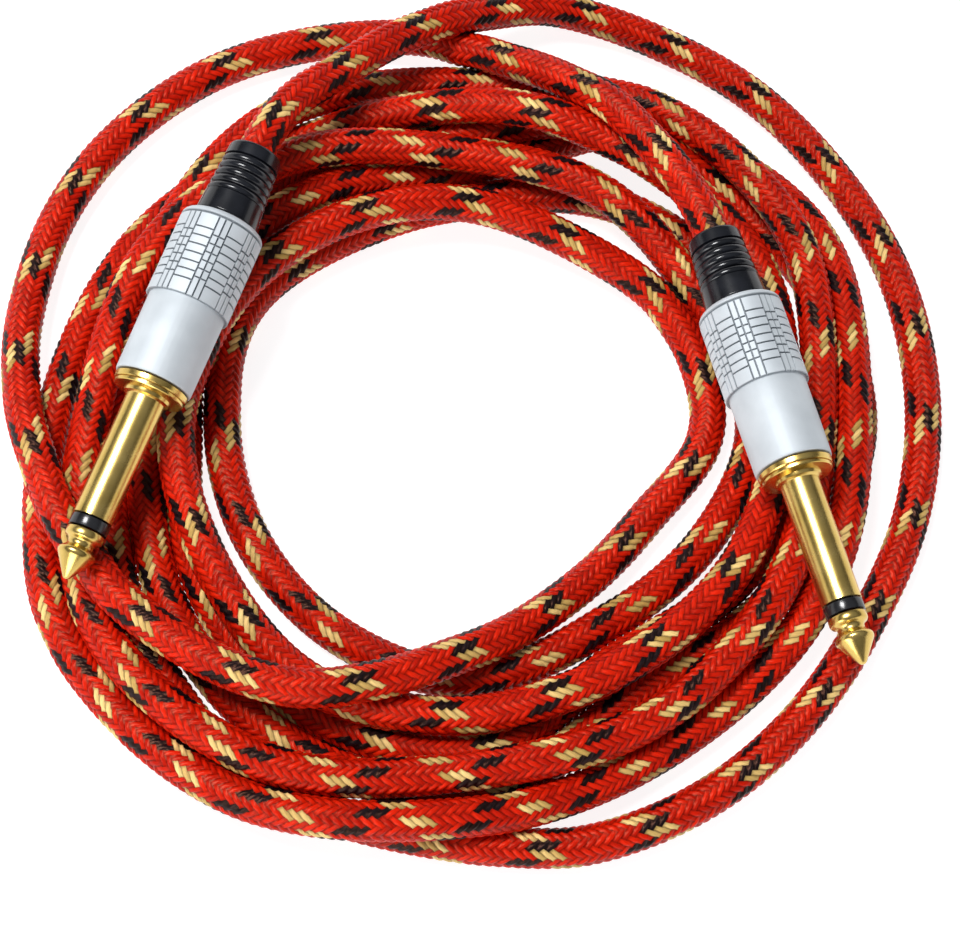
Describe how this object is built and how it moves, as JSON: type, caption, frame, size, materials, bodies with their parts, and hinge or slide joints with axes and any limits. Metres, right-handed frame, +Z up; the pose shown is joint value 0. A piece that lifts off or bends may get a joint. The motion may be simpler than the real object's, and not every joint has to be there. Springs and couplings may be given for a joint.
{
  "type": "instrument cable",
  "caption": "Braided instrument cable in a round coil, with a straight gold-plated jack plug, knurled metal shell and ribbed rubber boot on each end.",
  "frame": {"origin": "middle of the whole part's plan, on the surface the coil lies on", "axes": "+Z up through the coil's hole, +Y away from the side the plug tips point to, +X from plug a's side to plug b's side"},
  "size_m": [0.1568, 0.1566, 0.0291],
  "materials": {
    "braid": "red woven braid with yellow and black tracer threads",
    "gold": "polished gold plate",
    "satin_shell": "satin nickel plate with a padded grip",
    "black_rubber": "glossy moulded rubber",
    "black_plastic": "moulded, slightly glossy",
    "white_plastic": "extruded polyethylene",
    "liner": "translucent sheet rolled to a tube",
    "black_pvc": "matt soft plastic",
    "copper": "bare stranded copper",
    "tinned": "tin-plated stamping",
    "solder": "bright solder"
  },
  "bodies": {
    "cable": {"coil": "braid", "a_lead": "braid", "b_lead": "braid", "a_tip": "gold", "a_centre_rod": "gold", "a_front_insulator": "black_plastic", "a_sleeve": "gold", "a_rear_washer": "black_plastic", "a_tip_lug": "tinned", "a_ground_lug": "tinned", "a_liner": "liner", "a_tip_solder": "solder", "a_core_wire": "copper", "a_core_insulation": "white_plastic", "a_inner_jacket": "black_pvc", "a_jacket_end": "braid", "a_shield_pigtail": "copper", "a_ground_solder": "solder", "b_tip": "gold", "b_centre_rod": "gold", "b_front_insulator": "black_plastic", "b_sleeve": "gold", "b_rear_washer": "black_plastic", "b_tip_lug": "tinned", "b_ground_lug": "tinned", "b_liner": "liner", "b_tip_solder": "solder", "b_core_wire": "copper", "b_core_insulation": "white_plastic", "b_inner_jacket": "black_pvc", "b_jacket_end": "braid", "b_shield_pigtail": "copper", "b_ground_solder": "solder"},
    "a_boot": {"a_boot": "black_rubber"},
    "a_shell": {"a_shell": "satin_shell"},
    "b_boot": {"b_boot": "black_rubber"},
    "b_shell": {"b_shell": "satin_shell"}
  },
  "joints": [
    {"name": "a_boot_slide", "type": "slide", "parent": "cable", "child": "a_boot", "axis": [0.374, 0.9211, 0.108], "range_m": [0, 0.004]},
    {"name": "a_shell_unscrew", "type": "hinge", "parent": "a_boot", "child": "a_shell", "pos_m": [-0.05357, -0.00467, 0.01914], "axis": [0.374, 0.9211, 0.108], "range_deg": [0, 1800]},
    {"name": "b_boot_slide", "type": "slide", "parent": "cable", "child": "b_boot", "axis": [-0.2215, 0.9747, -0.0297], "range_m": [0, 0.004]},
    {"name": "b_shell_unscrew", "type": "hinge", "parent": "b_boot", "child": "b_shell", "pos_m": [0.04726, -0.01936, 0.0206], "axis": [-0.2215, 0.9747, -0.0297], "range_deg": [0, 1800]}
  ],
  "couplings": [
    {"joint": "a_boot_slide", "follows": "a_shell_unscrew", "m_per_rad": 0.00012732},
    {"joint": "b_boot_slide", "follows": "b_shell_unscrew", "m_per_rad": 0.00012732}
  ]
}
